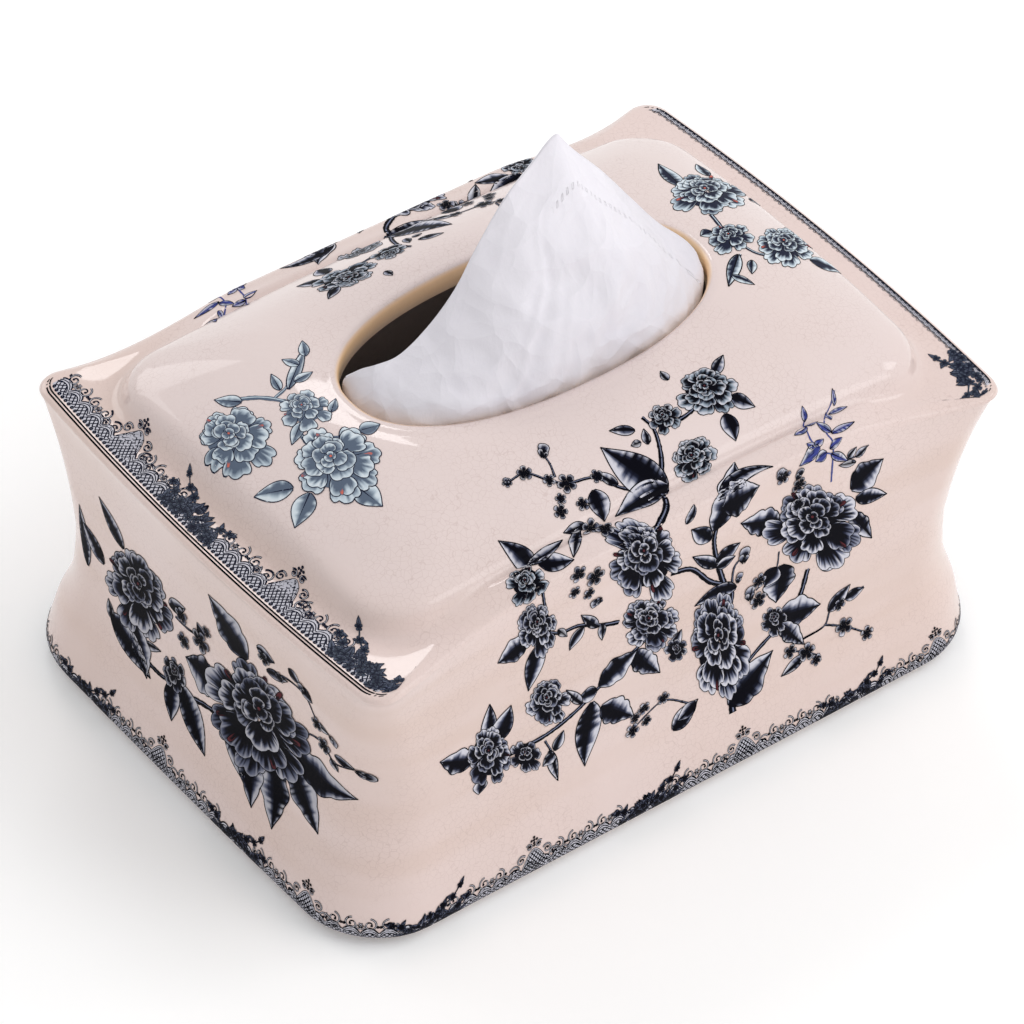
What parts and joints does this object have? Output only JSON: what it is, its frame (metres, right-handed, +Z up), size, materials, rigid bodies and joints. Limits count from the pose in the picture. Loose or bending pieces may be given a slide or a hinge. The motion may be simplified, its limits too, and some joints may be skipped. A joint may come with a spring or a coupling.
{
  "type": "tissue box cover",
  "caption": "Open-bottomed glazed ceramic cover with waisted sides, horned rim and domed top, set over a soft pack of facial tissues with a sheet raised through its oval slot.",
  "frame": {"origin": "centre of the cover's foot, on the surface that it stands on", "axes": "+X along the long side, +Y across it, +Z up; the raised sheet leans from the -Y edge of the slot"},
  "size_m": [0.232, 0.165, 0.1757],
  "materials": {
    "cream_glaze": "gloss",
    "tissue": "matte",
    "film": "satin"
  },
  "bodies": {
    "refill": {"refill_pouch": "film", "tissue_stack": "tissue"},
    "cover": {"cover_shell": "cream_glaze"},
    "sheet": {"tissue_sheet": "tissue"}
  },
  "joints": [
    {"name": "cover_lift", "type": "slide", "parent": "refill", "child": "cover", "axis": [0, 0, 1], "range_m": [0, 0.19]},
    {"name": "sheet_pull", "type": "slide", "parent": "cover", "child": "sheet", "axis": [0, 0, 1], "range_m": [0, 0.07]}
  ]
}
